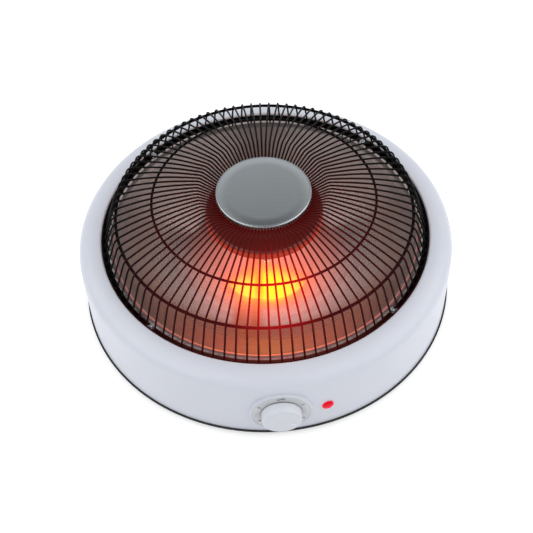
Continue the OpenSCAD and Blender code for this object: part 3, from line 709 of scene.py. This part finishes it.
def endOfRim(edges):
    verts = {v for e in edges for v in e.verts}
    return sum((v.co for v in verts), Vector()) / len(verts)


def pushTo(bm, edges, r, z):
    # Draws the wire's open end out straight to (r, z)
    step = Vector((r * mm, 0, z * mm)) - endOfRim(edges)
    out = bmesh.ops.extrude_edge_only(bm, edges=edges)["geom"]
    bmesh.ops.translate(bm, verts=[g for g in out if isinstance(g, bmesh.types.BMVert)], vec=step)
    return rimEdges(out)


def makeWires(g, corners, bends):
    bm = bmesh.new()
    place = Matrix.Translation((corners[0].x * mm, 0, corners[0].y * mm))
    bmesh.ops.create_circle(bm, cap_ends=True, segments=g["sides"], radius=g["wireR"] * mm,
                            matrix=place @ Matrix.Rotation(math.pi / 2, 4, "Y"))
    edges = bm.edges[:]
    for bend, steps in zip(bends, g["steps"]):
        edges = pushTo(bm, edges, *bend[0])
        centre = bendCentre(bend)
        spun = bmesh.ops.spin(bm, geom=edges, cent=(centre.x * mm, 0, centre.y * mm),
                              axis=(0, 1, 0), angle=-bend[2], steps=steps)
        edges = rimEdges(spun["geom_last"])
    edges = pushTo(bm, edges, *corners[-1])
    bmesh.ops.contextual_create(bm, geom=edges)
    bmesh.ops.recalc_face_normals(bm, faces=bm.faces)
    turn = Matrix.Rotation(math.radians(g["phase"] - 90), 3, "Z")
    bmesh.ops.rotate(bm, verts=bm.verts, cent=(0, 0, 0), matrix=turn)
    gap = 2 * math.pi / g["wires"]
    bmesh.ops.spin(bm, geom=bm.verts[:] + bm.edges[:] + bm.faces[:], cent=(0, 0, 0),
                   axis=(0, 0, 1), angle=gap * (g["wires"] - 1), steps=g["wires"] - 1,
                   use_duplicate=True)
    return finishPiece("guard_radials", bm, ["guard_wires"], crease=sheetCrease)


def makeRing(g, name, ringR, r, z):
    bm = bmesh.new()
    place = Matrix.Translation((r * mm, 0, z * mm)) @ Matrix.Rotation(math.pi / 2, 4, "X")
    bmesh.ops.create_circle(bm, segments=g["ringSides"], radius=ringR * mm, matrix=place)
    spinRound(bm, g["ringSteps"])
    return finishPiece("guard_" + name + "_hoop", bm, ["guard_" + name + "_ring"],
                       crease=sheetCrease)


def middleOf(bend):
    # The wire's axis half way round a bend, and its slope there
    start, heading, turn, bendR = bend
    slope = heading + turn / 2
    side = math.copysign(bendR, turn)
    return bendCentre(bend) + side * Vector((math.sin(slope), -math.cos(slope))), slope


def makeGuard(g):
    corners = wireCourse(g)
    bends = wireBends(g, corners)
    makeWires(g, corners, bends)
    for name, bend, ringR in (("middle", bends[2], g["middleR"]),
                              ("shoulder", bends[3], g["shoulderR"])):
        point, slope = middleOf(bend)
        off = g["wireR"] + ringR + g["weld"]
        makeRing(g, name, ringR, point.x + off * math.sin(slope), point.y - off * math.cos(slope))


def makeBand(g):
    inner = g["bandR"] - g["bandT"]
    roundR = g["bandT"] / 2
    topZ = g["bandZ"] + g["bandH"] - roundR
    bm = bmesh.new()
    path = startAt(bm, inner, g["bandZ"])
    lineTo(bm, path, g["bandR"], g["bandZ"])
    lineTo(bm, path, g["bandR"], topZ)
    arcTo(bm, path, inner + roundR, topZ, 180, 8)
    bm.edges.new((path[-1], path[0]))
    spinRound(bm, g["ringSteps"])
    return finishPiece("guard_foot_band", bm, ["guard_band"], crease=g["bandCrease"])


makeGuard(guard)
makeBand(guard)
print("guard made")


# Shade pan and the lit disc behind the element

low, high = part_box("shade_pan")
pan = {
    "r": high[0] / mm,
    "topZ": high[2] / mm,
    "edgeZ": low[2] / mm,
    "corner": 3,              # radius between top and lip
    "sheet": 0.8,
    "steps": 192,
}


def makePan(p):
    bm = bmesh.new()
    path = startAt(bm, 0, p["topZ"])
    lineTo(bm, path, p["r"] - p["corner"], p["topZ"])
    arcTo(bm, path, p["r"] - p["corner"], p["topZ"] - p["corner"], -90, 10)
    lineTo(bm, path, p["r"], p["edgeZ"])
    spinRound(bm, p["steps"])
    finishSheet("shade_dish", bm, "shade_pan", p["sheet"])


makePan(pan)


def copyOf(node, name=None, material=None, body="root", crease=30):
    # A CAD node's own shape, merged so that its round faces shade smoothly
    bm = bmesh.new()
    bm.from_mesh(frame["nodes"][node].data)
    bmesh.ops.remove_doubles(bm, verts=bm.verts, dist=mergeGap * mm)
    return finishPiece(name or node + "_finished", bm, [node], material, body, crease)


copyOf("heating_element", crease=sheetCrease)
copyOf("refractory_disc", material=litCeramic)
print("shade and element made")


# Dial plate with its marks, and the knob

low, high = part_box("dial_plate")
dial = {
    "z": midHeight("dial_plate"),
    "face": -low[1] / mm,
    "r": (high[0] - low[0]) / 2 / mm,
    "rim": 2.2,
    "recess": 0.9,            # from the rim down to the plate
    "markR": 24.1,
    "markSize": 5.2,
    "wordShare": 0.9,         # of the marks' size that OFF has
    "marks": ("OFF", "1", "2", "3", "4", "5"),
    "inkT": 0.05,
}


def makeDial(d):
    copyOf("dial_plate", "dial_face_plate",
           dialPlastic(d["face"], d["z"], d["r"] - d["rim"]), crease=softCrease)
    apart = 360 / len(d["marks"])
    bm = bmesh.new()
    for i, mark in enumerate(d["marks"]):
        text = bpy.data.curves.new("mark", "FONT")
        text.body = mark
        text.size = d["markSize"] * mm * (d["wordShare"] if i == 0 else 1)
        text.align_x = "CENTER"
        text.align_y = "CENTER"
        text.extrude = d["inkT"] * mm
        holder = bpy.data.objects.new("mark", text)
        mesh = bpy.data.meshes.new_from_object(holder)
        turn = Matrix.Rotation(math.radians(-apart * i), 4, "Z")
        mesh.transform(outward(0, d["face"] - d["recess"] + d["inkT"], d["z"])
                       @ turn @ Matrix.Translation((0, d["markR"] * mm, 0)))
        bm.from_mesh(mesh)
        bpy.data.objects.remove(holder)
    mesh = bpy.data.meshes.new("dial_marks")
    bm.to_mesh(mesh)
    bm.free()
    mesh.materials.append(dialInk)
    piece = bpy.data.objects.new("dial_marks", mesh)
    bpy.context.scene.collection.objects.link(piece)
    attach(piece, "root")


makeDial(dial)

low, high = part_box("control_knob")
knob = {
    "z": midHeight("control_knob"),
    "r": (high[0] - low[0]) / 2 / mm,
    "foot": -high[1] / mm,
    "draft": 0.7,             # how far the side leans in from the foot to the face
    "round": 1.3,             # radius of the edge round the face
    "roundTurn": 86,          # degrees: the side's lean takes the rest
    "footIn": 0.25,           # of the grip's foot, inside the knob's radius
    "chamfer": 0.35,
    "hollow": ((0, 0.15), (6, 0.12), (10, 0.0225), (12.5, 0)),    # radius, depth in the face
    "turn": 120,              # the pointer's angle from the top, clockwise
    "pointer": (1.7, 5.2, 13.2),    # width, length and distance from the axis
    "pointerUp": 0.5,         # how far it stands out of the face
    "pointerIn": 0.3,
    "pointerRound": 0.22,
    "steps": 128,
}
knob["h"] = (high[1] - low[1]) / mm - knob["pointerUp"]


def makeKnob(k):
    faceR = k["r"] - k["draft"] - k["round"]
    footR = k["r"] - k["footIn"]
    bm = bmesh.new()
    path = startAt(bm, k["hollow"][0][0], k["h"] - k["hollow"][0][1])
    for r, depth in k["hollow"][1:]:
        lineTo(bm, path, r, k["h"] - depth)
    lineTo(bm, path, faceR, k["h"])
    arcTo(bm, path, faceR, k["h"] - k["round"], -k["roundTurn"], 8)
    lineTo(bm, path, footR, k["chamfer"])
    lineTo(bm, path, footR - k["chamfer"], 0)
    lineTo(bm, path, 0, 0)
    spinRound(bm, k["steps"])
    wide, long, away = k["pointer"]
    tall = k["pointerUp"] + k["pointerIn"]
    middle = k["h"] + (k["pointerUp"] - k["pointerIn"]) / 2
    bar = bmesh.ops.create_cube(bm, size=1, matrix=(
        Matrix.Rotation(math.radians(-k["turn"]), 4, "Z")
        @ Matrix.Translation((0, away * mm, middle * mm))
        @ Matrix.Diagonal((wide * mm, long * mm, tall * mm, 1))))["verts"]
    corners = {e for v in bar for e in v.link_edges}
    bmesh.ops.bevel(bm, geom=list(corners), offset=k["pointerRound"] * mm, segments=3,
                    profile=0.5, affect="EDGES", material=-1)
    bmesh.ops.transform(bm, matrix=outward(0, k["foot"], k["z"]), verts=bm.verts)
    return finishPiece("knob_body", bm, ["control_knob"], body="knob")


makeKnob(knob)
print("dial and knob made")


# Pilot lamp

lens = {
    "r": 5.75,
    "z": midHeight("pilot_lens"),
    "azimuth": 13.4,
    "edge": 0.8,              # height of its straight edge
    "dome": 1.9,              # rise of its face over the edge
    "gap": 0.05,              # to the leaning wall, at the lens's lower edge
    "steps": 64,
}


def makeLens(n):
    out = n["r"] * drum["lean"] / (drum["shoulderZ"] - drum["footZ"]) + n["gap"]
    bm = bmesh.new()
    path = startAt(bm, 0, 0)
    lineTo(bm, path, n["r"], 0)
    lineTo(bm, path, n["r"], n["edge"])
    arcTo(bm, path, 0, n["edge"], 90, 16, (1, n["dome"] / n["r"]))
    spinRound(bm, n["steps"])
    bmesh.ops.transform(bm, verts=bm.verts,
                        matrix=outward(n["azimuth"], wallRadius(n["z"]) + out, n["z"]))
    return finishPiece("pilot_lamp_lens", bm, ["pilot_lens"])


makeLens(lens)
print("pilot lamp made")


# Every other node keeps its CAD shape, with merged faces and its own finish. The switch's shaft
# turns with the knob.

for name in sorted(frame["nodes"]):
    if name not in dressed:
        copyOf(name, body="knob" if name == "switch_shaft" else "root")
print("small parts made:", len(frame["nodes"]))


# Stage: a white floor that keeps the shadow, soft lamps and a pale sky

stage = {
    "floorSize": 8.0,         # m
    "floorWhite": 0.5,        # light added to the floor for the camera and in reflections
    "paper": (0.86, 0.86, 0.86, 1),
    "skyColour": (0.95, 0.97, 1.0, 1),
    "horizon": 0.8,           # how bright the sky is at the horizon
    "zenith": 0.12,           # and overhead
    "skyBand": (0.55, 0.9),   # sines of the elevations between which the sky darkens
    "front": 0.68,            # how bright the sky in front is, against the sides and back
    "lamps": (                # azimuth, elevation, distance m, size m, watts
        (-78, 50, 1.7, (2.2, 1.6), 11.5),
        (75, 46, 1.7, (2.2, 1.6), 12.5),
    ),
    "lampAim": 0.07,          # m above the floor
}


def makeFloor(s):
    bm = bmesh.new()
    bmesh.ops.create_grid(bm, x_segments=1, y_segments=1, size=s["floorSize"] / 2)
    mesh = bpy.data.meshes.new("floor")
    bm.to_mesh(mesh)
    bm.free()
    material = bpy.data.materials.new("whitePaper")
    material.use_nodes = True
    tree = material.node_tree
    tree.nodes.clear()
    ray = addNode(tree, "LightPath")
    seen = ray.outputs["Is Camera Ray"]
    for kind in ("Is Glossy Ray", "Is Transmission Ray"):
        seen = addNode(tree, "Math", (seen, ray.outputs[kind]), operation="MAXIMUM")
    added = addNode(tree, "Math", (seen, s["floorWhite"]), operation="MULTIPLY")
    paper = addNode(tree, "BsdfDiffuse", {"Color": s["paper"]})
    light = addNode(tree, "Emission", {"Strength": added})
    addNode(tree, "OutputMaterial", {"Surface": addNode(tree, "AddShader", (paper, light))})
    mesh.materials.append(material)
    floor = bpy.data.objects.new("floor", mesh)
    bpy.context.scene.collection.objects.link(floor)


def makeLamps(s):
    for azimuth, elevation, distance, size, watts in s["lamps"]:
        lamp = bpy.data.lights.new("softbox", "AREA")
        lamp.shape = "RECTANGLE"
        lamp.size, lamp.size_y = size
        lamp.energy = watts
        holder = bpy.data.objects.new("softbox", lamp)
        bpy.context.scene.collection.objects.link(holder)
        up = math.radians(elevation)
        height = distance * math.sin(up) + s["lampAim"]
        holder.matrix_world = (
            Matrix.Rotation(math.radians(azimuth), 4, "Z")
            @ Matrix.Translation((0, -distance * math.cos(up), height))
            @ Matrix.Rotation(math.pi / 2 - up, 4, "X"))


def makeSky(s):
    world = bpy.data.worlds.new("sky")
    bpy.context.scene.world = world
    world.use_nodes = True
    tree = world.node_tree
    way = addNode(tree, "TexCoord").outputs["Generated"]
    parts = addNode(tree, "SeparateXYZ", (way,)).outputs
    upward = addNode(tree, "MapRange", (parts["Z"], *s["skyBand"], s["horizon"], s["zenith"]))
    backward = addNode(tree, "MapRange", (parts["Y"], -1, 0, s["front"], 1))
    level = addNode(tree, "Math", (upward, backward), operation="MULTIPLY")
    connect(tree, tree.nodes["Background"], {"Color": s["skyColour"], "Strength": level})


makeFloor(stage)
makeLamps(stage)
makeSky(stage)
bpy.context.scene.view_settings.view_transform = "Standard"
print("stage made")
